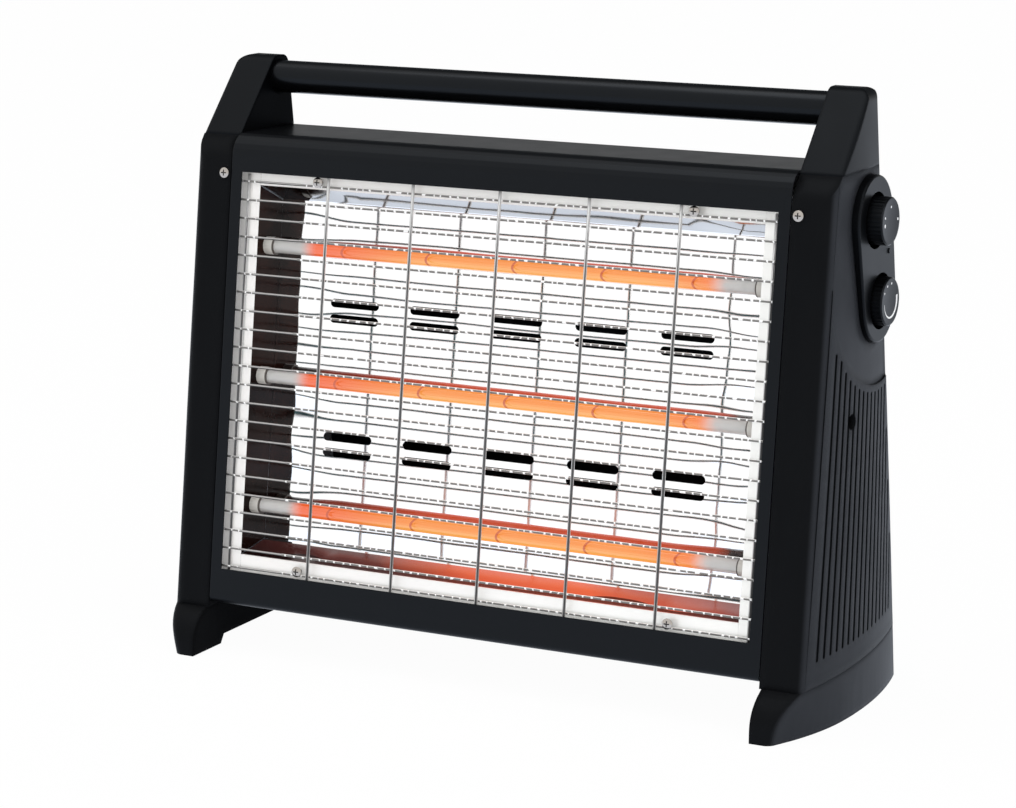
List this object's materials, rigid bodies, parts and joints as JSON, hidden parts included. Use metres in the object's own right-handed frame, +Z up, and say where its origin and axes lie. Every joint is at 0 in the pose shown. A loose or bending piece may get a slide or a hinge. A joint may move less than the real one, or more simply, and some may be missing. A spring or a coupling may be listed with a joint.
{
  "type": "halogen heater",
  "caption": "Free-standing radiant heater with glowing quartz tubes in a polished reflector behind a wire guard, black side housings with flared feet, a round carrying bar and side knobs.",
  "frame": {"origin": "on the floor, in the middle of the overall footprint", "axes": "+X to the side with the knobs, +Y to the back, +Z up"},
  "size_m": [0.489, 0.182, 0.395],
  "materials": {
    "casing_paint": "satin black paint on steel sheet",
    "housing_plastic": "fine satin moulded black plastic",
    "pod_plastic": "fine satin moulded black plastic",
    "knob_plastic": "semi-gloss black plastic with printed white marks",
    "bar_paint": "gloss black paint on steel tube",
    "reflector": "bright polished sheet",
    "guard_wire": "bright nickel plate",
    "quartz": "clear quartz",
    "glowing_wire": "wound resistance wire, glowing orange",
    "ceramic_white": "unglazed white ceramic",
    "zinc_plate": "zinc-plated steel",
    "switch_plastic": "pale heat-resistant plastic",
    "dark_plastic": "dark moulded plastic",
    "wire_jacket": "pale silicone sleeve",
    "screw_zinc": "bright zinc plate"
  },
  "bodies": {
    "root": {"front_casing": "casing_paint", "rear_cover": "casing_paint", "bottom_plate": "casing_paint", "end_plate_right": "zinc_plate", "end_plate_left": "zinc_plate", "side_panel_right": "housing_plastic", "side_panel_left": "housing_plastic", "foot_right": "housing_plastic", "foot_left": "housing_plastic", "handle_bracket_right": "housing_plastic", "handle_bracket_left": "housing_plastic", "handle_bar": "bar_paint", "reflector_back": "reflector", "reflector_end_right": "reflector", "reflector_end_left": "reflector", "wire_guard": "guard_wire", "quartz_tube_top": "quartz", "quartz_tube_middle": "quartz", "quartz_tube_bottom": "quartz", "heating_element_top": "glowing_wire", "heating_element_middle": "glowing_wire", "heating_element_bottom": "glowing_wire", "tube_caps": "ceramic_white", "tube_holders": "zinc_plate", "control_pod": "pod_plastic", "selector_switch": "switch_plastic", "thermostat": "switch_plastic", "tilt_switch": "dark_plastic", "thermal_cutout": "dark_plastic", "terminal_block": "switch_plastic", "cable_gland": "dark_plastic", "wiring": "wire_jacket", "front_screws": "screw_zinc", "guard_screws": "screw_zinc", "side_screws": "screw_zinc", "rear_screws": "screw_zinc", "foot_screws": "screw_zinc", "bracket_screws": "screw_zinc", "control_screws": "screw_zinc"},
    "selector": {"selector_knob": "knob_plastic", "selector_spindle": "zinc_plate"},
    "thermostat_dial": {"thermostat_knob": "knob_plastic", "thermostat_spindle": "zinc_plate"}
  },
  "joints": [
    {"name": "selector_turn", "type": "hinge", "parent": "root", "child": "selector", "pos_m": [0.2365, 0.02247, 0.3137], "axis": [-1, 0, 0], "range_deg": [0, 270]},
    {"name": "thermostat_turn", "type": "hinge", "parent": "root", "child": "thermostat_dial", "pos_m": [0.2365, 0.03199, 0.261], "axis": [-1, 0, 0], "range_deg": [0, 270]}
  ]
}
